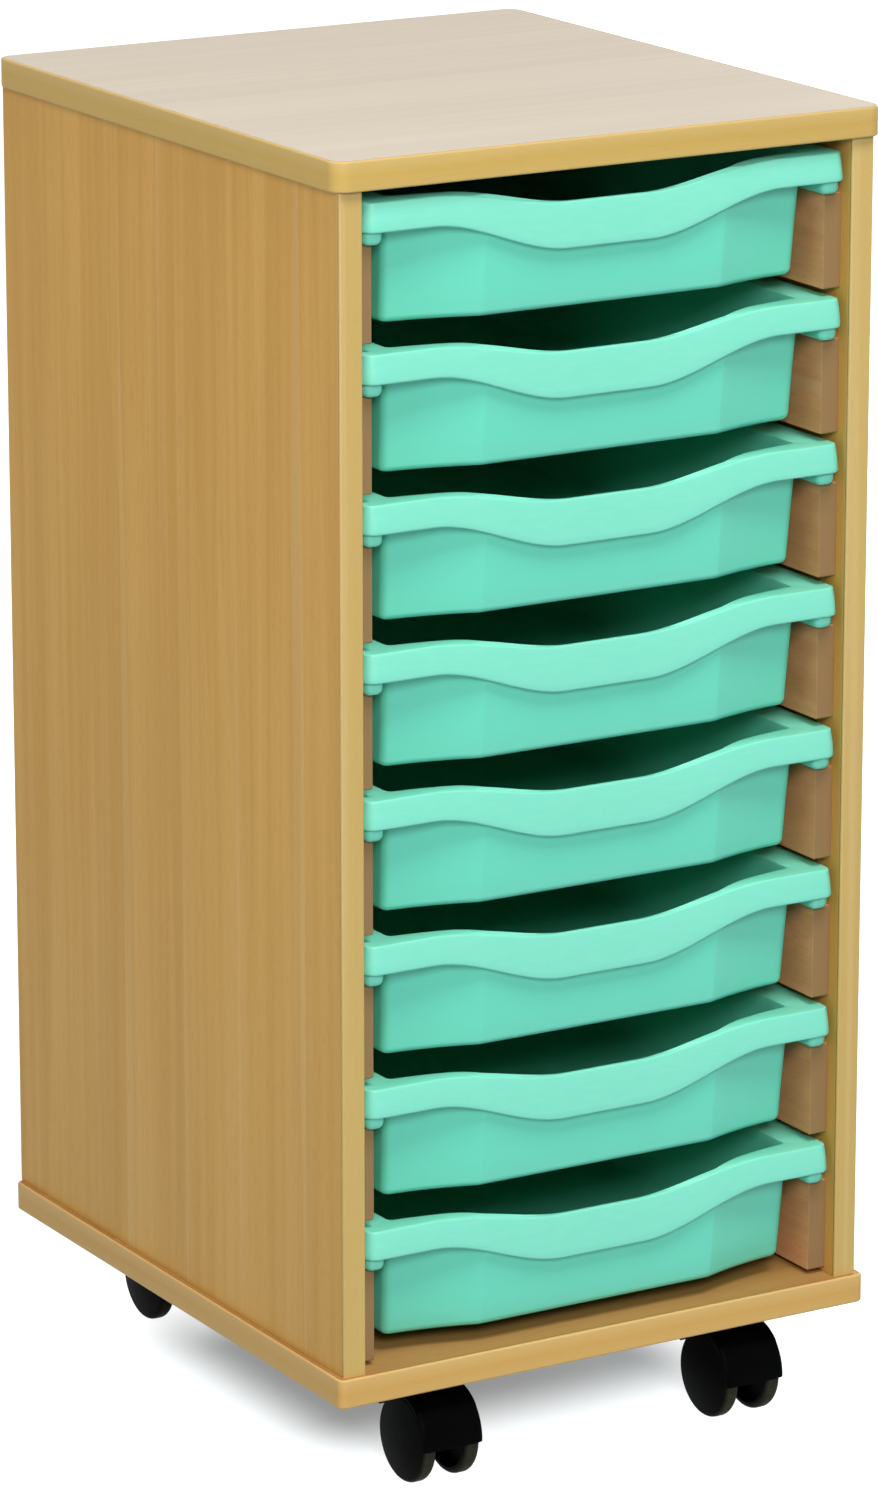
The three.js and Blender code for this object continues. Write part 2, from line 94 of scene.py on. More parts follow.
class Graph:
    """Node tree of one material, with short calls for the nodes that the finishes share."""

    def __init__(self, name: str) -> None:
        """Starts a material that holds one Principled shader."""
        self.material = bpy.data.materials.new(name)
        self.material.use_nodes = True
        self.tree = self.material.node_tree
        self.shader = self.tree.nodes["Principled BSDF"]

    def feed(self, socket: bpy.types.NodeSocket, value: Any) -> None:
        """Links a socket to another one, or sets its plain value."""
        if isinstance(value, bpy.types.NodeSocket):
            self.tree.links.new(value, socket)
        else:
            socket.default_value = value

    def add(self, kind: str, inputs: dict[Any, Any], **settings: Any) -> bpy.types.Node:
        """Adds a node.

        Args:
            kind: Blender's name of the node type.
            inputs: Value or source socket for each input, by name or place.
            **settings: Other properties of the node.

        Returns:
            The new node.
        """
        node = self.tree.nodes.new(kind)
        for key, value in settings.items():
            setattr(node, key, value)
        for key, value in inputs.items():
            self.feed(node.inputs[key], value)
        return node

    def dress(self, **sockets: Any) -> None:
        """Feeds the shader's sockets, named with underscores for spaces."""
        for key, value in sockets.items():
            self.feed(self.shader.inputs[key.replace("_", " ")], value)

    def place(self) -> bpy.types.NodeSocket:
        """Place on the piece, in metres, in its own frame."""
        return self.add("ShaderNodeTexCoord", {}).outputs["Object"]

    def stretch(self, vector: bpy.types.NodeSocket, scale: tuple[float, ...]) -> bpy.types.NodeSocket:
        """Place scaled along each axis."""
        return self.add("ShaderNodeMapping", {"Vector": vector, "Scale": scale}).outputs["Vector"]

    def noise(
        self, vector: bpy.types.NodeSocket, scale: float, detail: float = 2.0, roughness: float = 0.5
    ) -> bpy.types.NodeSocket:
        """Noise pattern.

        Args:
            vector: Place on the piece.
            scale: Features in each metre.
            detail: Octaves of finer noise.
            roughness: Weight of the finer octaves.

        Returns:
            The noise, mostly from 0.3 to 0.7.
        """
        inputs = {"Vector": vector, "Scale": scale, "Detail": detail, "Roughness": roughness}
        return self.add("ShaderNodeTexNoise", inputs).outputs["Fac"]

    def cells(self, vector: bpy.types.NodeSocket, scale: float) -> bpy.types.NodeSocket:
        """Random level, from 0 to 1, of each cell of an uneven split with `scale` cells in each metre."""
        return self.add("ShaderNodeTexVoronoi", {"Vector": vector, "Scale": scale}).outputs["Color"]

    def span(
        self, value: bpy.types.NodeSocket, low: float, high: float, start: float, end: float
    ) -> bpy.types.NodeSocket:
        """Value eased from `start` at `low` to `end` at `high`, and level beyond them."""
        inputs = {0: value, 1: low, 2: high, 3: start, 4: end}
        return self.add("ShaderNodeMapRange", inputs, interpolation_type="SMOOTHSTEP").outputs[0]

    def sum(self, first: Any, second: Any, operation: str = "ADD") -> bpy.types.NodeSocket:
        """Two values put together by an arithmetic operation."""
        return self.add("ShaderNodeMath", {0: first, 1: second}, operation=operation).outputs[0]

    def mix(self, share: Any, first: Any, second: Any) -> bpy.types.NodeSocket:
        """Colour between two colours."""
        inputs = {0: share, 6: first, 7: second}
        return self.add("ShaderNodeMix", inputs, data_type="RGBA").outputs[2]

    def facing(self, axis: int) -> bpy.types.NodeSocket:
        """Share, from 0 to 1, by which a surface of the piece faces along one of its axes."""
        normal = self.add("ShaderNodeTexCoord", {}).outputs["Normal"]
        along = self.add("ShaderNodeSeparateXYZ", {"Vector": normal}).outputs[axis]
        return self.span(self.sum(along, 0.0, "ABSOLUTE"), 0.3, 0.5, 0.0, 1.0)

    def attribute(self, name: str) -> bpy.types.NodeSocket:
        """Value that the piece's points carry, or 0 where they carry none."""
        return self.add("ShaderNodeAttribute", {}, attribute_name=name).outputs["Fac"]

    def bump(self, height: bpy.types.NodeSocket, strength: float, depth: float) -> bpy.types.NodeSocket:
        """Normal tilted by a height pattern."""
        inputs = {"Height": height, "Strength": strength, "Distance": depth}
        return self.add("ShaderNodeBump", inputs).outputs["Normal"]


@dataclass(frozen=True)
class WoodFinish:
    """Wood or a printed wood pattern, with staves, streaks, pale lines and short flecks along the grain."""

    name: str
    light: str
    dark: str
    fleck: str
    grain: Grain
    roughness: float = 0.42
    fleck_share: float = 0.25
    gloss: float = 0.1
    stave_scale: float = 26.0
    stave_stretch: float = 22.0
    broad_scale: float = 16.0
    broad_stretch: float = 9.0
    streak_scale: float = 95.0
    streak_stretch: float = 50.0
    line_scale: float = 60.0
    line_stretch: float = 120.0
    line_share: float = 0.14
    fleck_scale: float = 900.0
    fleck_stretch: float = 9.0
    worn_and_highlight: str = "ead2a4"
    worn_and_highlight_share: float = 0.2
    end_grain_and_shade: str = ""

    def material(self) -> bpy.types.Material:
        """Builds the finish as a node material."""
        graph = Graph(self.name)
        place = graph.place()
        staves = graph.cells(graph.stretch(place, self.grain.scale(self.stave_stretch)), self.stave_scale)
        streaks = graph.noise(
            graph.stretch(place, self.grain.scale(self.streak_stretch)), self.streak_scale, 4.0, 0.6
        )
        lines = graph.noise(graph.stretch(place, self.grain.scale(self.line_stretch)), self.line_scale, 1.0)
        flecks = graph.noise(graph.stretch(place, self.grain.scale(self.fleck_stretch)), self.fleck_scale, 1.0)
        broad = graph.noise(graph.stretch(place, self.grain.scale(self.broad_stretch)), self.broad_scale, 1.0)
        shade = graph.sum(graph.sum(staves, 0.14, "MULTIPLY"), graph.sum(streaks, 0.44, "MULTIPLY"))
        shade = graph.sum(shade, graph.sum(broad, 0.42, "MULTIPLY"))
        colour = graph.mix(graph.span(shade, 0.35, 0.65, 0.0, 1.0), tone(self.light), tone(self.dark))
        colour = graph.mix(graph.span(lines, 0.64, 0.69, 0.0, self.line_share), colour, tone(self.worn_and_highlight))
        spots = graph.span(flecks, 0.56, 0.7, 0.0, self.fleck_share)
        colour = graph.mix(spots, colour, tone(self.fleck))
        # On wood the pale share is only scuffed edges.
        rubbed_and_highlight = graph.sum(graph.attribute("wear_and_highlight"), self.worn_and_highlight_share, "MULTIPLY")
        colour = graph.mix(rubbed_and_highlight, colour, tone(self.worn_and_highlight))
        # Faces across the grain turn darker: end grain, darkened further as painted shade on the runners' front ends.
        if self.end_grain_and_shade:
            colour = graph.mix(graph.facing(self.grain.value[0]), colour, tone(self.end_grain_and_shade))
        graph.dress(
            Base_Color=colour,
            Roughness=graph.span(streaks, 0.3, 0.7, self.roughness - 0.05, self.roughness + 0.06),
            Normal=graph.bump(graph.sum(flecks, streaks), 0.06, 0.2 * MM),
            Specular_IOR_Level=self.gloss,
        )
        return graph.material


@dataclass(frozen=True)
class MouldedFinish:
    """Moulded plastic: an even colour with faint clouding, a fine moulded grain, and a paler colour on scuffed edges
    that on the tray's lip and the castor treads is also a painted highlight.
    """

    name: str
    colour: str
    cloud: str
    worn_and_highlight: str
    roughness: float
    worn_and_highlight_share: float = 0.4
    gloss: float = 0.5
    cloud_scale: float = 9.0
    grain_scale: float = 1900.0
    grain_depth: float = 0.03

    def material(self) -> bpy.types.Material:
        """Builds the finish as a node material."""
        graph = Graph(self.name)
        place = graph.place()
        clouds = graph.noise(place, self.cloud_scale, 3.0, 0.55)
        grain = graph.noise(place, self.grain_scale, 2.0)
        scuffs = graph.noise(graph.stretch(place, (1.0, 6.0, 6.0)), 60.0, 5.0, 0.7)
        colour = graph.mix(graph.span(clouds, 0.35, 0.65, 0.0, 1.0), tone(self.colour), tone(self.cloud))
        # The pale colour follows scuffed edges; on the tray's lip and the castor treads it also paints a highlight.
        rubbed_and_highlight = graph.sum(graph.attribute("wear_and_highlight"), graph.span(scuffs, 0.4, 0.65, 0.75, 1.0), "MULTIPLY")
        colour = graph.mix(graph.sum(rubbed_and_highlight, self.worn_and_highlight_share, "MULTIPLY"), colour, tone(self.worn_and_highlight))
        graph.dress(
            Base_Color=colour,
            Roughness=graph.span(scuffs, 0.3, 0.7, self.roughness - 0.05, self.roughness + 0.07),
            Normal=graph.bump(grain, self.grain_depth, 0.3 * MM),
            Specular_IOR_Level=self.gloss,
        )
        return graph.material


@dataclass(frozen=True)
class SteelFinish:
    """Zinc-plated steel with faint spangle and rolling marks."""

    name: str
    light: str = "c9cbcc"
    dark: str = "8f9294"
    roughness: float = 0.34

    def material(self) -> bpy.types.Material:
        """Builds the finish as a node material."""
        graph = Graph(self.name)
        place = graph.place()
        spangle = graph.noise(place, 420.0, 3.0, 0.6)
        marks = graph.noise(graph.stretch(place, (0.05, 1.0, 1.0)), 1500.0, 2.0)
        graph.dress(
            Base_Color=graph.mix(graph.span(spangle, 0.35, 0.65, 0.0, 1.0), tone(self.light), tone(self.dark)),
            Metallic=1.0,
            Roughness=graph.span(marks, 0.3, 0.7, self.roughness - 0.08, self.roughness + 0.1),
            Normal=graph.bump(marks, 0.06, 0.1 * MM),
        )
        return graph.material


SIDE_BEECH = WoodFinish("upright beech", "dca959", "cf9c4e", "c28e47", Grain.UPRIGHT)
LEVEL_BEECH = WoodFinish("level beech", "b48951", "a97e46", "9a6f3a", Grain.ACROSS)
TOP_BEECH = WoodFinish(
    "top beech", "d3c7b6", "cec2b1", "c6baa8", Grain.ACROSS, 0.52, 0.15, 0.05, line_share=0.08, worn_and_highlight="dcd1c2"
)
TOP_BAND = WoodFinish("top edge band", "cba75a", "c5a055", "bb944a", Grain.LEVEL, 0.4, 0.2)
BASE_BAND = WoodFinish("base edge band", "d3a55c", "cd9e57", "c2924c", Grain.LEVEL, 0.4, 0.2)
UPRIGHT_BAND = WoodFinish("upright edge band", "ccaa60", "c6a25a", "bc964e", Grain.UPRIGHT, 0.4, 0.2)
# Its darker end faces are end grain, made darker still as painted shade.
RUNNER_WOOD = WoodFinish(
    "runner wood", "e5a171", "d59161", "bc7b4a", Grain.BACKWARDS, 0.55, end_grain_and_shade="957650"
)
# The third colour is the pale tone of scuffed edges, and on the lip a painted highlight.
TRAY_PLASTIC = MouldedFinish("turquoise plastic", "6bdabc", "68d7b9", "a9e6cf", 0.38, 0.4)
# The third colour is dust on the treads, and partly a painted highlight there.
CASTOR_PLASTIC = MouldedFinish("black nylon", "030303", "050505", "4a4638", 0.42, 0.9, 0.012)
STEEL = SteelFinish("zinc-plated steel")


class Shell:
    """Points, faces and pale shares of one piece, gathered island by island; the shares paint scuffed edges, and on
    some pieces a highlight.
    """

    def __init__(self) -> None:
        """Starts with no points."""
        self.points: list[tuple[float, ...]] = []
        self.faces: list[tuple[int, ...]] = []
        self.wear_and_highlight: list[float] = []

    def loft(self, rings: list[np.ndarray], wear_and_highlight: list[float] | None = None, looped: bool = False) -> None:
        """Adds a skin over rings of points.

        Args:
            rings: Rings with equal counts, anticlockwise from above, from the underside outwards and up.
            wear_and_highlight: Pale share of each ring, for scuffed edges and on some pieces a painted highlight, or
                none.
            looped: Joins the last ring to the first; otherwise both are closed by a face.
        """
        first = len(self.points)
        count = len(rings[0])
        for place, ring in enumerate(rings):
            self.points.extend(tuple(point) for point in ring)
            self.wear_and_highlight.extend([wear_and_highlight[place] if wear_and_highlight else 0.0] * count)
        for band in range(len(rings) if looped else len(rings) - 1):
            lower = first + band * count
            upper = first + (band + 1) % len(rings) * count
            for i in range(count):
                j = (i + 1) % count
                self.faces.append((lower + i, lower + j, upper + j, upper + i))
        if not looped:
            last = first + (len(rings) - 1) * count
            self.faces.append(tuple(range(first + count - 1, first - 1, -1)))
            self.faces.append(tuple(range(last, last + count)))

    def turn(self, profile: list[tuple[float, float]], segments: int, place: Matrix, wear_and_highlight: Any = None) -> None:
        """Adds a turned island.

        Args:
            profile: Radius and place along the axis, from the foot of the axis round the outside to its top.
            segments: Steps of a full turn.
            place: Takes the turning axis from +Z to where the island is.
            wear_and_highlight: Pale share of each profile point, for scuffed edges and on some pieces a painted
                highlight, or none.
        """
        angles = [2 * math.pi * i / segments for i in range(segments)]
        rings = []
        for radius, along in profile:
            ring = [place @ Vector((radius * math.cos(a), radius * math.sin(a), along)) for a in angles]
            rings.append(np.array(ring))
        self.loft(rings, wear_and_highlight)

    def piece(self, name: str, material: bpy.types.Material, sharp: float = 38.0) -> bpy.types.Object:
        """Makes the gathered islands into an object.

        Args:
            name: Name of the piece.
            material: Its finish.
            sharp: Angle in degrees past which an edge isn't shaded smooth.

        Returns:
            The object, in the scene.
        """
        mesh = bpy.data.meshes.new(name)
        mesh.from_pydata(self.points, [], self.faces)
        mesh.validate()
        # The pale share marks scuffed edges, and on the tray's lip and the castor treads it is also a painted
        # highlight.
        mesh.attributes.new("wear_and_highlight", "FLOAT", "POINT").data.foreach_set("value", self.wear_and_highlight)
        mesh.materials.append(material)
        mesh.shade_smooth()
        mesh.set_sharp_from_angle(angle=math.radians(sharp))
        return show(name, mesh)


def show(name: str, mesh: bpy.types.Mesh) -> bpy.types.Object:
    """Puts a mesh in the scene as an object."""
    piece = bpy.data.objects.new(name, mesh)
    bpy.context.scene.collection.objects.link(piece)
    return piece


def arc(steps: int) -> list[float]:
    """Angles of a quarter turn in equal steps, both ends included."""
    return [math.pi / 2 * i / steps for i in range(steps + 1)]


def rounded_outline(low: Vector, high: Vector, inset: float, corner: float, height: float, steps: int = 5) -> np.ndarray:
    """Ring round a rectangle with round corners.

    Args:
        low: Corner of the rectangle with the least X and Y.
        high: Corner with the most X and Y.
        inset: How far inside the rectangle the ring runs.
        corner: Radius of its corners.
        height: Z of the ring.
        steps: Facets of each corner.

    Returns:
        Points of the ring, anticlockwise from above.
    """
    points = []
    for quarter, (x, y) in enumerate([(high.x, high.y), (low.x, high.y), (low.x, low.y), (high.x, low.y)]):
        inwards_x = -1 if x == high.x else 1
        inwards_y = -1 if y == high.y else 1
        middle = (x + inwards_x * (inset + corner), y + inwards_y * (inset + corner))
        for turn in arc(steps):
            angle = quarter * math.pi / 2 + turn
            points.append((middle[0] + corner * math.cos(angle), middle[1] + corner * math.sin(angle), height))
    return np.array(points)


@dataclass
class Carcass:
    """Boards, edge bands and runners of the cabinet."""

    tray_count: int
    edge_round: float = 1.3 * MM
    top_corner: float = 10.0 * MM
    base_corner: float = 5.0 * MM
    corner_steps: int = 6
    eased: float = 0.3 * MM
    runner_eased: float = 0.9 * MM

    def dress_boards(self) -> None:
        """Gives the boards and runners their finishes and eased edges."""
        side, level, top, runner = (f.material() for f in (SIDE_BEECH, LEVEL_BEECH, TOP_BEECH, RUNNER_WOOD))
        for name in ("left_side", "right_side", "back_panel"):
            self.dress(name, side, self.eased)
        self.dress("base_panel", level, 0.0)
        self.dress("top_panel", top, 0.0)
        for place in range(1, self.tray_count + 1):
            for hand in ("left", "right"):
                self.dress(f"{hand}_runner_{place}", runner, self.runner_eased)

    def dress(self, node: str, material: bpy.types.Material, eased: float) -> None:
        """Finishes one solid of the frame.

        Args:
            node: Name of the solid.
            material: Its finish.
            eased: Size of its eased edges, or 0 for none.
        """
        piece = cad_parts[node]
        piece.data.materials.clear()
        piece.data.materials.append(material)
        if eased:
            ease_edges(piece, eased)
        LOG.info("dressed %s", node)

    def build_bands(self) -> None:
        """Builds the glued edge bands with their rounded outer edges."""
        upright = UPRIGHT_BAND.material()
        for name, finish in (("top", TOP_BAND), ("base", BASE_BAND)):
            self.stand_for(self.ring_band(name, finish.material()), f"{name}_edging")
        for name in ("left_side", "right_side"):
            self.stand_for(self.strip_band(name, upright), f"{name}_edging")

    def stand_for(self, piece: bpy.types.Object, node: str) -> None:
        """Lets a band stand for its solid on the cabinet, with its broad faces shaded flat."""
        piece.modifiers.new("flat faces", "WEIGHTED_NORMAL")
        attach(piece, "cabinet")
        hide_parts(node)
        LOG.info("built %s", piece.name)

    def ring_band(self, name: str, material: bpy.types.Material) -> bpy.types.Object:
        """Band round a level board.

        Args:
            name: The board, top or base.
            material: Finish of the band.

        Returns:
            The band.
        """
        low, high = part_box(f"{name}_edging")
        board_low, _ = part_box(f"{name}_panel")
        thickness = board_low.x - low.x
        corner = self.top_corner if name == "top" else self.base_corner
        rings, wear_and_highlight = [], []

        def ring(inset: float, height: float, rubbed_and_highlight: float) -> None:
            rings.append(rounded_outline(low, high, inset, corner - inset, height, self.corner_steps))
            wear_and_highlight.append(rubbed_and_highlight)

        for angle in arc(4):
            inset = self.edge_round * (1 - math.sin(angle))
            ring(inset, low.z + self.edge_round * (1 - math.cos(angle)), 0.5)
        ring(0.0, (low.z + high.z) / 2, 0.0)
        for angle in arc(4):
            inset = self.edge_round * (1 - math.cos(angle))
            ring(inset, high.z - self.edge_round * (1 - math.sin(angle)), 1.0)
        ring(thickness, high.z, 0.0)
        ring(thickness, low.z, 0.0)
        shell = Shell()
        shell.loft(rings, wear_and_highlight, looped=True)
        return shell.piece(f"{name}_edge_band", material)

    def strip_band(self, name: str, material: bpy.types.Material) -> bpy.types.Object:
        """Band down the front of a side board.

        Args:
            name: The board.
            material: Finish of the band.

        Returns:
            The band.
        """
        low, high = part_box(f"{name}_edging")
        outline = [(high.x, high.y), (low.x, high.y)]
        for angle in arc(4):
            share = (1 - math.cos(angle), 1 - math.sin(angle))
            outline.append((low.x + self.edge_round * share[0], low.y + self.edge_round * share[1]))
        for angle in reversed(arc(4)):
            share = (1 - math.cos(angle), 1 - math.sin(angle))
            outline.append((high.x - self.edge_round * share[0], low.y + self.edge_round * share[1]))
        shell = Shell()
        shell.loft([np.array([(x, y, z) for x, y in outline]) for z in (low.z, high.z)], [0.5, 0.5])
        return shell.piece(f"{name}_edge_band", material)


def ease_edges(piece: bpy.types.Object, size: float) -> None:
    """Rounds a piece's sharp edges a little, once its faces share their corners."""
    weld = piece.modifiers.new("shared corners", "WELD")
    weld.merge_threshold = 0.01 * MM
    bevel = piece.modifiers.new("eased edges", "BEVEL")
    bevel.width = size
    bevel.segments = 2
    bevel.limit_method = "ANGLE"
    bevel.angle_limit = math.radians(40)
    piece.modifiers.new("flat faces", "WEIGHTED_NORMAL")


@dataclass
class TrayMoulding:
    """Shallow moulded tray: a faceted body hung from a rim whose front is a waved lip.

    Its own frame has the front of the lip at Y = 0 and the top of the rim at Z = 0.
    """

    rim_half: float
    depth: float
    height: float
    body_half: float
    wall: float = 2.5 * MM
    rim_thickness: float = 2.5 * MM
    rim_flare: float = 2.0 * MM
    rim_corner: float = 8.0 * MM
    top_round: float = 1.2 * MM
    inner_round: float = 0.7 * MM
    lip_end: float = 17.4 * MM
    lip_dip: float = 11.3 * MM
    lip_swell: float = 9.8 * MM
    lip_crown: float = 0.4 * MM
    wave_shoulder: float = 45.0 * MM
    wave_run: float = 90.0 * MM
    body_behind_lip: float = 1.5 * MM
    back_rim: float = 12.0 * MM
    body_corner: float = 6.0 * MM
    facet_width: float = 55.0 * MM
    facet_step: float = 12.7 * MM
    facet_round: float = 1.0 * MM
    facet_bow: float = 0.55
    front_draft: float = math.tan(math.radians(6.0))
    side_draft: float = math.tan(math.radians(1.5))
    groove: float = 1.0 * MM
    bottom_round: float = 4.0 * MM
    floor_round: float = 6.0 * MM
    foot_width: float = 12.0 * MM
    foot_height: float = 0.9 * MM
    bead_width: float = 12.5 * MM
    bead_inset: float = 2.0 * MM
    bead_setback: float = 4.0 * MM
    bead_bottom: float = 25.4 * MM
    bead_round: float = 4.0 * MM
    bead_corner: float = 4.6 * MM
    bead_hollow: float = 6.0 * MM
    front_steps: int = 120
    corner_steps: int = 8
    side_steps: int = 10
    back_steps: int = 10
    stations: list[tuple[str, float]] = field(default_factory=list)

    def __post_init__(self) -> None:
        """Lays out the stations that every ring shares, and the lip's wave at each of them."""
        end = self.body_half - self.body_corner
        self.facet_edge = 1 - self.facet_width / end
        bends = [self.facet_edge + self.facet_round / end * k / 2 for k in range(-2, 3)]
        evenly = [2 * i / self.front_steps - 1 for i in range(self.front_steps + 1)]
        evenly = [s for s in evenly if abs(abs(s) - self.facet_edge) > 1.6 * self.facet_round / end]
        self.stations = [("front", s) for s in sorted(evenly + bends + [-b for b in bends])]
        runs = [
            ("front_right", self.corner_steps, 1), ("right", self.side_steps, 1),
            ("back_right", self.corner_steps, 1), ("back", self.back_steps, 1),
            ("back_left", self.corner_steps, 1), ("left", self.side_steps, 1),
            ("front_left", self.corner_steps, 0),
        ]
        for run, steps, whole in runs:
            self.stations += [(run, i / steps) for i in range(1, steps + whole)]
        self.wave = np.array([self.wave_at(*station) for station in self.stations])
        self.top = -self.lip_dip * self.wave
        self.foot = -self.lip_end - (self.lip_dip + self.lip_swell) * self.wave
        self.floor = np.full(len(self.stations), -self.height)

    def wave_at(self, run: str, share: float) -> float:
        """Share of the lip's wave at a station: 1 in the middle of the front, 0 at its shoulders."""
        if run != "front":
            return 0.0
        shoulder = self.rim_half - self.wave_shoulder
        x = abs(share) * (self.rim_half - self.rim_corner)
        t = min(max((x - shoulder + self.wave_run) / self.wave_run, 0.0), 1.0)
        return 1 - t * t * (3 - 2 * t)

    def plan(self, station: tuple[str, float], half: float, front: float, back: float, corner: float,
             flat: float, slope: float) -> tuple[float, float]:
        """Place of a station on a plan outline.

        Args:
            station: Stretch of the outline and the share along it.
            half: Half its width.
            front: Y of the middle of its front edge.
            back: Y of its back edge.
            corner: Radius of its corners.
            flat: Half the width of the flat middle of the front.
            slope: How fast the front runs back beyond the flat middle, in hollow facets.

        Returns:
            X and Y.
        """
        run, share = station
        tilt = math.atan(slope * (1 - self.facet_bow))
        end = half - corner + corner * math.sin(tilt)
        middle = half - corner
        front_middle = front + slope * (end - flat) + corner * math.cos(tilt)
        back_middle = back - corner
        if run == "front":
            x = self.front_place(share, end, flat)
            past = self.soft_hinge(abs(x) - flat)
            return x, front + slope * past * (1 + self.facet_bow * (1 - past / (end - flat)))
        if run in ("right", "left"):
            run_up = share if run == "right" else 1 - share
            return (half if run == "right" else -half), front_middle + run_up * (back_middle - front_middle)
        if run == "back":
            return middle * (1 - 2 * share), back
        starts = {
            "front_right": (middle, front_middle, tilt - math.pi / 2, math.pi / 2 - tilt),
            "back_right": (middle, back_middle, 0.0, math.pi / 2),
            "back_left": (-middle, back_middle, math.pi / 2, math.pi / 2),
            "front_left": (-middle, front_middle, math.pi, math.pi / 2 - tilt),
        }
        x, y, start, sweep = starts[run]
        angle = start + share * sweep
        return x + corner * math.cos(angle), y + corner * math.sin(angle)

    def front_place(self, share: float, end: float, flat: float) -> float:
        """X of a share of the front, with the facet's edge at the same share on every ring of the body."""
        if not flat:
            return share * end
        near = min(abs(share) / self.facet_edge, 1.0) * flat
        past = max((abs(share) - self.facet_edge) / (1 - self.facet_edge), 0.0) * (end - flat)
        return math.copysign(near + past, share)

    def soft_hinge(self, past: float) -> float:
        """Distance past the facet's edge, with the edge rounded off."""
        reach = self.facet_round
        if past <= -reach:
            return 0.0
        if past >= reach:
            return past
        return (past + reach) ** 2 / (4 * reach)

    def rim_ring(self, inset: np.ndarray | float, heights: np.ndarray) -> np.ndarray:
        """Ring on the rim, `inset` inside the foot of its skirt, at the stations' heights."""
        insets = np.broadcast_to(inset, heights.shape)
        points = []
        for station, gap, height in zip(self.stations, insets, heights):
            corner = max(self.rim_corner - gap, 2.0 * MM)
            x, y = self.plan(station, self.rim_half - gap, gap, self.depth - gap, corner, 0.0, 0.0)
            points.append((x, y, height))
        return np.array(points)

    def body_front(self, drop: float, inset: float) -> float:
        """Y of the middle of the body's front, `drop` below the rim."""
        return self.body_behind_lip + drop * self.front_draft + inset

    def body_ring(self, inset: np.ndarray | float, heights: np.ndarray) -> np.ndarray:
        """Ring on the tapered body, `inset` inside its outer face, at the stations' heights."""
        insets = np.broadcast_to(inset, heights.shape)
        flat = self.body_half - self.body_corner - self.facet_width
        slope = self.facet_step / self.facet_width
        points = []
        for station, gap, height in zip(self.stations, insets, heights):
            taper = -height * self.side_draft + gap
            corner = max(self.body_corner - gap, 3.0 * MM)
            front = self.body_front(-height, gap)
            back = self.depth - self.back_rim - taper
            x, y = self.plan(station, self.body_half - taper, front, back, corner, flat, slope)
            points.append((x, y, height))
        return np.array(points)

    def skirt(self, heights: np.ndarray) -> np.ndarray:
        """Inset of the lip's outer face at the stations' heights, flared out to its foot."""
        rise = (heights - self.foot) / (self.top - self.foot)
        return self.rim_flare * rise - self.lip_crown * 4 * rise * (1 - rise)

    def underside(self) -> np.ndarray:
        """Height at each station where the space between the lip and the body ends."""
        heights = self.top - self.rim_thickness
        for i, (run, _) in enumerate(self.stations):
            while run == "front" and heights[i] > self.foot[i] + 2 * self.groove:
                level = np.full(len(self.stations), heights[i])
                inner = self.skirt(level)[i] + self.rim_thickness
                if self.body_ring(0.0, level)[i][1] - inner > self.groove:
                    break
                heights[i] -= 0.5 * MM
        return heights

    def shell_rings(self) -> tuple[list[np.ndarray], list[float]]:
        """Rings of the tray's skin, from the recess under its floor round to the floor inside.

        Returns:
            The rings, and the pale share of each: scuffed edges, and on the lip a painted highlight.
        """
        rings: list[np.ndarray] = []
        wear_and_highlight: list[float] = []

        def body(inset: Any, heights: np.ndarray, rubbed_and_highlight: float = 0.0) -> None:
            rings.append(self.body_ring(inset, heights))
            wear_and_highlight.append(rubbed_and_highlight)

        def rim(inset: Any, heights: np.ndarray, rubbed_and_highlight: float = 0.0) -> None:
            rings.append(self.rim_ring(inset, heights))
            wear_and_highlight.append(rubbed_and_highlight)

        under = self.underside()
        foot_step = self.foot_height
        body(self.foot_width + foot_step, self.floor + foot_step)
        body(self.foot_width, self.floor, 0.4)
        for angle in arc(4):
            drop_in = self.bottom_round * (1 - math.sin(angle))
            body(drop_in, self.floor + self.bottom_round * (1 - math.cos(angle)), 0.2)
        low = self.floor + self.bottom_round
        for share in (0.25, 0.5, 0.75, 0.95, 1.0):
            body(0.0, low + share * (under - low))
        half_lip = self.rim_thickness / 2
        for share in (1.0, 0.6, 0.2):
            level = self.foot + half_lip + share * (under - self.foot - half_lip)
            rim(self.skirt(level) + self.rim_thickness, level)
        # The lip's rings, round its foot, up its face and over its top, take a pale share of 0.8: mostly a painted
        # highlight that makes the lip paler as if lit from above, and partly scuffing of its edges.
        for angle in [math.pi * i / 6 for i in range(7)]:
            rim(half_lip * (1 + math.cos(angle)), self.foot + half_lip * (1 - math.sin(angle)), 0.8)
        shoulder = self.top - self.top_round
        for share in (0.15, 0.3, 0.5, 0.7, 0.85):
            level = self.foot + half_lip + share * (shoulder - self.foot - half_lip)
            rim(self.skirt(level), level, 0.8)
        for angle in arc(4):
            level = shoulder + self.top_round * math.sin(angle)
            rim(self.skirt(shoulder) + self.top_round * (1 - math.cos(angle)), level, 0.8)
        for angle in arc(3):
            inset = self.wall - self.inner_round * (1 - math.sin(angle))
            body(inset, self.top - self.inner_round * (1 - math.cos(angle)), 0.6)
        floor = self.floor + self.wall
        fillet = floor + self.floor_round
        for share in (0.1, 0.35, 0.65, 0.9):
            body(self.wall, self.top - self.inner_round + share * (fillet - self.top + self.inner_round))
        for angle in arc(5):
            inset = self.wall + self.floor_round * (1 - math.cos(angle))
            body(inset, fillet - self.floor_round * math.sin(angle))
        return rings, wear_and_highlight

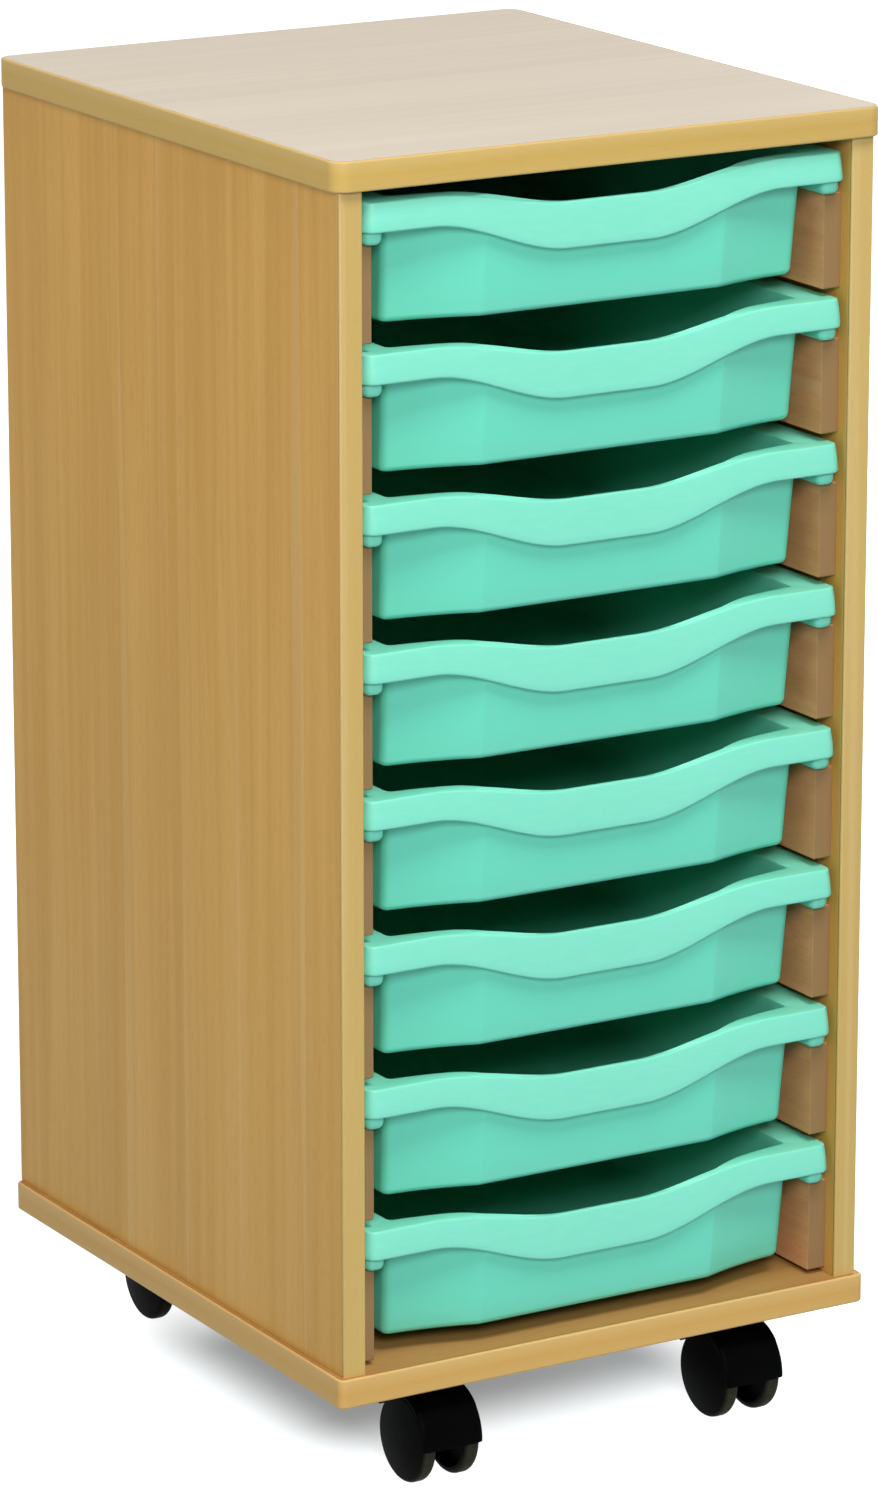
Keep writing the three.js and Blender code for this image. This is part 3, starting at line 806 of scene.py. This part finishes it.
    def bead_rings(self, side: int) -> tuple[list[np.ndarray], list[float]]:
        """Rings of the hollow bead under one side of the rim.

        Args:
            side: -1 for the left side, 1 for the right.

        Returns:
            The rings, from the groove round the outside up into the rim, and the edge wear of each.
        """
        outer = self.rim_half - self.bead_inset
        across = sorted((side * outer, side * (outer - self.bead_width)))
        low = Vector((across[0], self.bead_setback, 0.0))
        high = Vector((across[1], self.depth - self.bead_setback, 0.0))
        bottom = -self.bead_bottom
        steps = [(self.bead_round + 0.3 * MM, -self.bead_hollow, 0.0), (self.bead_round + 0.2 * MM, bottom, 0.0)]
        for angle in arc(5):
            inset = self.bead_round * (1 - math.sin(angle))
            steps.append((inset, bottom + self.bead_round * (1 - math.cos(angle)), 0.5))
        steps.append((0.0, -self.rim_thickness / 2, 0.0))
        rings = []
        for inset, height, _ in steps:
            rings.append(rounded_outline(low, high, inset, max(self.bead_corner - inset, 0.3 * MM), height, 6))
        return rings, [rubbed_and_highlight for _, _, rubbed_and_highlight in steps]

    def mesh(self, material: bpy.types.Material) -> bpy.types.Object:
        """First tray, whose mesh the others share."""
        shell = Shell()
        shell.loft(*self.shell_rings())
        for side in (-1, 1):
            shell.loft(*self.bead_rings(side))
        return shell.piece("tray_1_moulding", material, 50.0)


@dataclass
class TrayStack:
    """The trays, from the top one down."""

    count: int
    runner_gap: float = 11.5 * MM

    def build(self) -> None:
        """Moulds the first tray, repeats it, and lets each stand for its solid."""
        low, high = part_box("tray_1")
        runner_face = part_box("right_runner_1")[0].x
        moulding = TrayMoulding(high.x, high.y - low.y, high.z - low.z, runner_face - self.runner_gap)
        first = moulding.mesh(TRAY_PLASTIC.material())
        for place in range(1, self.count + 1):
            tray = first if place == 1 else show(f"tray_{place}_moulding", first.data)
            low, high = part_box(f"tray_{place}")
            tray.location = (0.0, low.y, high.z)
            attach(tray, f"tray_{place}")
            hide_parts(f"tray_{place}")
            LOG.info("built %s", tray.name)


@dataclass
class CastorSet:
    """Four twin-wheel castors: wheels, hoods and the steel between them and the base."""

    tread_round: float = 3.0 * MM
    seam: float = 0.2 * MM
    dome: float = 2.2 * MM
    hub_radius: float = 7.0 * MM
    rim: float = 4.0 * MM
    disc: float = 3.0 * MM
    hood_wall: float = 2.0 * MM
    hood_shoulder: float = 4.0 * MM
    hood_crown: float = 0.3 * MM
    hood_clearance: float = 1.2 * MM
    hood_back: float = 30.0
    hood_front: float = 180.0
    brow: float = 135.0
    brow_step: float = 0.6 * MM
    brow_run: float = 5.0
    lip_tuck: float = 0.8 * MM
    web_clearance: float = 0.5 * MM
    web_radius: float = 8.0 * MM
    boss_round: float = 1.0 * MM
    wheel_steps: int = 64
    hood_steps: int = 46
    steel_eased: float = 0.4 * MM
    hood_eased: float = 0.25 * MM

    def build(self) -> None:
        """Builds the wheel and hood once, and places them at each castor."""
        plastic = CASTOR_PLASTIC.material()
        steel = STEEL.material()
        castor = "front_left_castor"
        wheel = self.wheel(castor).piece(f"{castor}_right_wheel_moulding", plastic)
        hood = self.hood(castor).piece(f"{castor}_hood_moulding", plastic, 45.0)
        ease_edges(hood, self.hood_eased)
        for end in ("front", "back"):
            for side in ("left", "right"):
                name = f"{end}_{side}_castor"
                axle = self.middle(f"{name}_axle")
                kingpin = self.middle(f"{name}_kingpin")
                for hand, turn in (("right", 0.0), ("left", math.pi)):
                    self.place(wheel, f"{name}_{hand}_wheel", axle, turn, f"{name}_{hand}_wheel")
                self.place(hood, f"{name}_hood", Vector((kingpin.x, kingpin.y, 0.0)), 0.0, name)
                for node in ("plate", "kingpin", "axle"):
                    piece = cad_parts[f"{name}_{node}"]
                    piece.data.materials.clear()
                    piece.data.materials.append(steel)
                ease_edges(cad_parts[f"{name}_plate"], self.steel_eased)
                LOG.info("built %s", name)

    def middle(self, node: str) -> Vector:
        """Middle of a solid's box."""
        low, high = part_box(node)
        return (low + high) / 2

    def place(self, pattern: bpy.types.Object, node: str, spot: Vector, turn: float, body: str) -> None:
        """Puts a copy of a moulding where its solid is.

        Args:
            pattern: The moulding, which is itself used for its own name.
            node: Solid that it stands for.
            spot: Place of the moulding's own origin.
            turn: Turn about Z, in radians.
            body: Body that it rides on.
        """
        name = f"{node}_moulding"
        piece = pattern if pattern.name == name else show(name, pattern.data)
        if piece is not pattern and pattern.modifiers:
            ease_edges(piece, self.hood_eased)
        piece.location = spot
        piece.rotation_euler = (0.0, 0.0, turn)
        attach(piece, body)
        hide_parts(node)

    def wheel(self, castor: str) -> Shell:
        """Right wheel about its axle, with X = 0 midway between the two wheels."""
        low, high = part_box(f"{castor}_right_wheel")
        axle_low, axle_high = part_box(f"{castor}_axle")
        middle = (axle_low.x + axle_high.x) / 2
        radius = (high.z - low.z) / 2
        inner, outer = low.x - middle, high.x - middle
        bore = (axle_high.z - axle_low.z) / 2 + 0.3 * MM
        bore_end = axle_high.x - middle + 0.3 * MM
        rim_inner = radius - self.rim
        disc_inner = outer - self.dome - self.disc
        profile = [
            (bore, bore_end), (bore, inner), (self.hub_radius, inner),
            (self.hub_radius, disc_inner), (rim_inner, disc_inner), (rim_inner, inner),
        ]
        wear_and_highlight = [0.0] * len(profile)
        edge = radius - self.tread_round
        # The tread's rounded edges and seam take a pale share: dust on the tread, and partly a painted highlight
        # where it catches light.
        for angle in arc(6):
            profile.append((edge + self.tread_round * math.sin(angle), inner + self.tread_round * (1 - math.cos(angle))))
            wear_and_highlight.append(0.8 * math.sin(angle))
        seam = (inner + outer - self.dome) / 2
        profile += [(radius, seam - self.seam), (radius - self.seam, seam), (radius, seam + self.seam)]
        wear_and_highlight += [0.8, 0.6, 0.8]
        rim_face = outer - self.dome
        for angle in arc(6):
            profile.append((edge + self.tread_round * math.cos(angle), rim_face - self.tread_round * (1 - math.sin(angle))))
            wear_and_highlight.append(0.8 * math.cos(angle) ** 3)
        for share in (0.95, 0.85, 0.7, 0.55, 0.4, 0.25, 0.1):
            profile.append((edge * share, rim_face + self.dome * (1 - share ** 2)))
        wear_and_highlight += [0.0] * (len(profile) - len(wear_and_highlight))
        shell = Shell()
        shell.turn(profile, self.wheel_steps, Matrix.Rotation(math.pi / 2, 4, "Y"), wear_and_highlight)
        return shell

    def hood(self, castor: str) -> Shell:
        """Hood about its swivel axis, with Z = 0 on the floor."""
        low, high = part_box(f"{castor}_hood")
        axle = self.middle(f"{castor}_axle")
        pin_low, pin_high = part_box(f"{castor}_kingpin")
        trail = axle.y - (pin_low.y + pin_high.y) / 2
        wheel_low, wheel_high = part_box(f"{castor}_right_wheel")
        radius = (wheel_high.z - wheel_low.z) / 2
        half = (high.x - low.x) / 2
        pocket = radius + self.hood_clearance
        outer = pocket + self.hood_wall
        angles = np.radians(np.linspace(self.hood_back, self.hood_front, self.hood_steps))
        shell = Shell()
        section = [(-half, pocket)]
        for angle in arc(5):
            drop = self.hood_shoulder * (1 - math.sin(angle)) * 0.4
            section.append((-half + self.hood_shoulder * (1 - math.cos(angle)), outer - drop))
        section.append((0.0, outer + self.hood_crown))
        section += [(-x, r) for x, r in reversed(section[:-1])]
        rings = []
        for angle in angles:
            past = (math.degrees(angle) - self.brow) / self.brow_run
            proud = self.brow_step * min(max(0.5 - past, 0.0), 1.0)
            down = max(past * self.brow_run / (self.hood_front - self.brow), 0.0)
            ring = []
            for x, r in reversed(section):
                reach = r - self.lip_tuck * down + (proud if r > pocket else 0.0)
                ring.append((x, trail + reach * math.cos(angle), axle.z + reach * math.sin(angle)))
            rings.append(np.array(ring))
        shell.loft(rings)
        web_half = wheel_low.x - axle.x - self.web_clearance
        outline = [(trail + (pocket + self.hood_wall / 2) * math.cos(a), axle.z + (pocket + self.hood_wall / 2) * math.sin(a)) for a in angles]
        for step in range(self.hood_steps // 2 + 1):
            angle = math.pi + math.pi * step / (self.hood_steps // 2)
            outline.append((trail + self.web_radius * math.cos(angle), axle.z + self.web_radius * math.sin(angle)))
        shell.loft([np.array([(x, y, z) for y, z in outline]) for x in (-web_half, web_half)])
        self.boss(shell, trail, axle.z, pocket + self.hood_wall / 2, high.z, (pin_high.x - pin_low.x) / 2)
        return shell

    def boss(self, shell: Shell, trail: float, axle_height: float, seat: float, top: float, radius: float) -> None:
        """Adds the round boss that the hood turns on.

        Args:
            shell: The hood, which gains it.
            trail: Y of the axle from the swivel axis.
            axle_height: Z of the axle.
            seat: Radius of the hood that the boss stands on.
            top: Z of the boss's top.
            radius: Its own radius.
        """
        turns = [2 * math.pi * i / self.hood_steps for i in range(self.hood_steps)]
        foot = []
        for a in turns:
            y = radius * math.sin(a)
            foot.append((radius * math.cos(a), y, axle_height + math.sqrt(seat ** 2 - (y - trail) ** 2)))
        rings = [np.array(foot)]
        for angle in arc(3):
            r = radius - self.boss_round * (1 - math.cos(angle))
            height = top - self.boss_round * (1 - math.sin(angle))
            rings.append(np.array([(r * math.cos(a), r * math.sin(a), height) for a in turns]))
        shell.loft(rings)


@dataclass
class Screws:
    """Cross-recessed screws that hold the castor plates, the runners and the base."""

    head_radius: float = 3.6 * MM
    head_height: float = 1.9 * MM
    flush_height: float = 0.35 * MM
    recess: float = 1.1 * MM
    slot_half: float = 0.55 * MM
    slot_reach: float = 2.1 * MM
    plate_inset: float = 5.5 * MM
    runner_end: float = 70.0 * MM
    base_end: float = 60.0 * MM
    turns: int = 24

    def build(self, tray_count: int) -> None:
        """Builds each set of screws as one piece on the cabinet."""
        steel = STEEL.material()
        plates = Shell()
        for end in ("front", "back"):
            for side in ("left", "right"):
                low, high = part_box(f"{end}_{side}_castor_plate")
                for x in (low.x + self.plate_inset, high.x - self.plate_inset):
                    for y in (low.y + self.plate_inset, high.y - self.plate_inset):
                        self.add(plates, Vector((x, y, low.z)), Vector((0, 0, -1)), self.head_height)
        self.fix(plates, "castor_plate_screws", steel)
        for side, inwards in (("left", 1), ("right", -1)):
            runners = Shell()
            for place in range(1, tray_count + 1):
                low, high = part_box(f"{side}_runner_{place}")
                face = high.x if inwards > 0 else low.x
                for y in (low.y + self.runner_end, high.y - self.runner_end):
                    spot = Vector((face, y, (low.z + high.z) / 2))
                    self.add(runners, spot, Vector((inwards, 0, 0)), self.flush_height)
            self.fix(runners, f"{side}_runner_screws", steel)
        base = Shell()
        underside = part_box("base_panel")[0].z
        for side in ("left", "right"):
            low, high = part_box(f"{side}_side")
            for y in (low.y + self.base_end, (low.y + high.y) / 2, high.y - self.base_end):
                spot = Vector(((low.x + high.x) / 2, y, underside))
                self.add(base, spot, Vector((0, 0, -1)), self.flush_height)
        self.fix(base, "base_screws", steel)

    def fix(self, shell: Shell, name: str, steel: bpy.types.Material) -> None:
        """Makes a set of screws a piece of the cabinet."""
        piece = shell.piece(name, steel, 30.0)
        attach(piece, "cabinet")
        LOG.info("built %s", name)

    def add(self, shell: Shell, spot: Vector, outwards: Vector, height: float) -> None:
        """Adds one screw head.

        Args:
            shell: Set that gains it.
            spot: Middle of the head's seat.
            outwards: Direction that the head faces.
            height: How far the head stands out of its seat.
        """
        place = Matrix.Translation(spot) @ outwards.to_track_quat("Z", "Y").to_matrix().to_4x4()
        radii = [1.0, 0.96, 0.85, 0.7]
        profile = [(self.head_radius, -0.2 * MM)]
        profile += [(self.head_radius * r, height * (1 - (r - 0.7) ** 2 / 0.09)) for r in radii]
        rings = []
        angles = [2 * math.pi * (i + 0.5) / self.turns for i in range(self.turns)]
        for r, z in profile:
            rings.append(np.array([place @ Vector((r * math.cos(a), r * math.sin(a), z)) for a in angles]))
        for depth in (0.0, self.recess):
            ring = []
            for a in angles:
                reach = self.cross_reach(a) * (1.0 - 0.25 * (depth > 0))
                ring.append(place @ Vector((reach * math.cos(a), reach * math.sin(a), height - depth)))
            rings.append(np.array(ring))
        shell.loft(rings)

    def cross_reach(self, angle: float) -> float:
        """Distance from the middle to the edge of the cross recess in a direction."""
        along = max(abs(math.cos(angle)), abs(math.sin(angle)))
        aside = min(abs(math.cos(angle)), abs(math.sin(angle)))
        corner = self.slot_half / aside if aside > 1e-6 else self.slot_reach
        return min(self.slot_reach / along, max(corner, self.slot_half / along))


def towards(azimuth: float, elevation: float) -> Vector:
    """Direction from the unit, in degrees right of its front and above the level."""
    a, e = math.radians(azimuth), math.radians(elevation)
    return Vector((math.sin(a) * math.cos(e), -math.cos(a) * math.cos(e), math.sin(e)))


@dataclass
class PhotoCamera:
    """Camera at the photograph's viewing angle, for an image of 878 by 1500 pixels."""

    azimuth: float = -30.5
    elevation: float = 15.367
    distance: float = 4.118
    focal_pixels: float = 6699.05
    target: tuple[float, float, float] = (5.605 * MM, 0.0, 392.544 * MM)
    image_height: int = 1500
    sensor: float = 36.0

    def build(self) -> None:
        """Makes it the scene's camera."""
        data = bpy.data.cameras.new("photo camera")
        data.sensor_width = self.sensor
        data.lens = self.focal_pixels * self.sensor / self.image_height
        data.clip_end = 100.0
        camera = bpy.data.objects.new("photo camera", data)
        bpy.context.scene.collection.objects.link(camera)
        back = towards(self.azimuth, self.elevation)
        camera.location = Vector(self.target) + back * self.distance
        camera.rotation_euler = back.to_track_quat("Z", "Y").to_euler()
        bpy.context.scene.camera = camera


@dataclass(frozen=True)
class SoftBox:
    """Square area lamp aimed at the middle of the unit."""

    name: str
    azimuth: float
    elevation: float
    distance: float
    size: float
    power: float
    colour: tuple[float, float, float] = (1.0, 1.0, 1.0)
    aim: tuple[float, float, float] = (0.0, 0.0, 0.45)

    def build(self) -> None:
        """Hangs the lamp."""
        data = bpy.data.lights.new(self.name, "AREA")
        data.size = self.size
        data.energy = self.power
        data.color = self.colour
        lamp = bpy.data.objects.new(self.name, data)
        bpy.context.scene.collection.objects.link(lamp)
        out = towards(self.azimuth, self.elevation)
        lamp.location = Vector(self.aim) + out * self.distance
        lamp.rotation_euler = out.to_track_quat("Z", "Y").to_euler()


@dataclass
class Studio:
    """Pale floor, even surroundings and soft boxes."""

    floor_half: float = 20.0
    floor_tone: str = "9db2bd"
    floor_lift: float = 0.25
    shade_half: tuple[float, float, float] = (0.15, 0.065, 1.0)
    shade_scale: tuple[float, float, float] = (1.5, 1.0, 1.0)
    shade_fade: float = 0.105
    surroundings: float = 0.16

    def build(self) -> None:
        """Sets the stage and its light."""
        bpy.context.scene.view_settings.view_transform = "Standard"
        self.lay_floor()
        self.light_surroundings()
        lamps = [
            SoftBox("front lamp", -2.0, 62.0, 6.0, 2.0, 240.0),
            SoftBox("left lamp", -84.0, 12.0, 1.3, 1.0, 4.6, (1.0, 0.95, 0.87), (0.0, 0.0, 0.85)),
            SoftBox("near lamp", -25.0, 26.0, 5.0, 1.2, 117.0),
            SoftBox("back lamp", 128.0, 8.0, 3.2, 1.2, 45.0),
        ]
        for lamp in lamps:
            lamp.build()

    def lay_floor(self) -> None:
        """Lays the floor, lifted towards white where the camera sees it, less so round the unit, which paints a soft
        shadow there.
        """
        half = self.floor_half
        mesh = bpy.data.meshes.new("floor")
        mesh.from_pydata([(-half, -half, 0), (half, -half, 0), (half, half, 0), (-half, half, 0)], [], [(0, 1, 2, 3)])
        graph = Graph("pale floor")
        path = graph.add("ShaderNodeLightPath", {})
        seen = graph.sum(path.outputs["Is Camera Ray"], path.outputs["Is Glossy Ray"], "MAXIMUM")
        place = graph.stretch(graph.place(), self.shade_scale)
        for operation, other in (("ABSOLUTE", (0, 0, 0)), ("SUBTRACT", self.shade_half), ("MAXIMUM", (0, 0, 0))):
            place = graph.add("ShaderNodeVectorMath", {0: place, 1: other}, operation=operation).outputs["Vector"]
        away = graph.add("ShaderNodeVectorMath", {0: place}, operation="LENGTH").outputs["Value"]
        # Round the unit the glow drops to floor_lift so the real shadow shows, and its soft fade back to white is
        # painted shadow.
        lift = graph.span(away, 0.0, self.shade_fade, self.floor_lift, 1.0)
        graph.dress(
            Base_Color=tone(self.floor_tone),
            Roughness=0.9,
            Emission_Color=(1.0, 1.0, 1.0, 1.0),
            Emission_Strength=graph.sum(seen, lift, "MULTIPLY"),
        )
        mesh.materials.append(graph.material)
        show("floor", mesh)

    def light_surroundings(self) -> None:
        """Lights the unit evenly from all round, with white where the camera or a gloss sees past it."""
        world = bpy.data.worlds.new("studio")
        world.use_nodes = True
        tree = world.node_tree
        path = tree.nodes.new("ShaderNodeLightPath")
        seen = path.outputs["Is Camera Ray"]
        for ray in ("Is Glossy Ray", "Is Transmission Ray"):
            either = tree.nodes.new("ShaderNodeMath")
            either.operation = "MAXIMUM"
            tree.links.new(seen, either.inputs[0])
            tree.links.new(path.outputs[ray], either.inputs[1])
            seen = either.outputs[0]
        level = tree.nodes.new("ShaderNodeMapRange")
        tree.links.new(seen, level.inputs[0])
        level.inputs[3].default_value = self.surroundings
        level.inputs[4].default_value = 1.0
        background = tree.nodes["Background"]
        background.inputs["Color"].default_value = (1.0, 1.0, 1.0, 1.0)
        tree.links.new(level.outputs[0], background.inputs["Strength"])
        bpy.context.scene.world = world


def main() -> None:
    """Builds the unit's looks in order."""
    logging.basicConfig(level=logging.INFO, format="%(name)s: %(message)s")
    tray_count = sum(name.startswith("left_runner_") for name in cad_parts)
    PhotoCamera().build()
    Studio().build()
    carcass = Carcass(tray_count)
    carcass.dress_boards()
    carcass.build_bands()
    TrayStack(tray_count).build()
    CastorSet().build()
    Screws().build(tray_count)


if __name__ == "__main__":
    main()
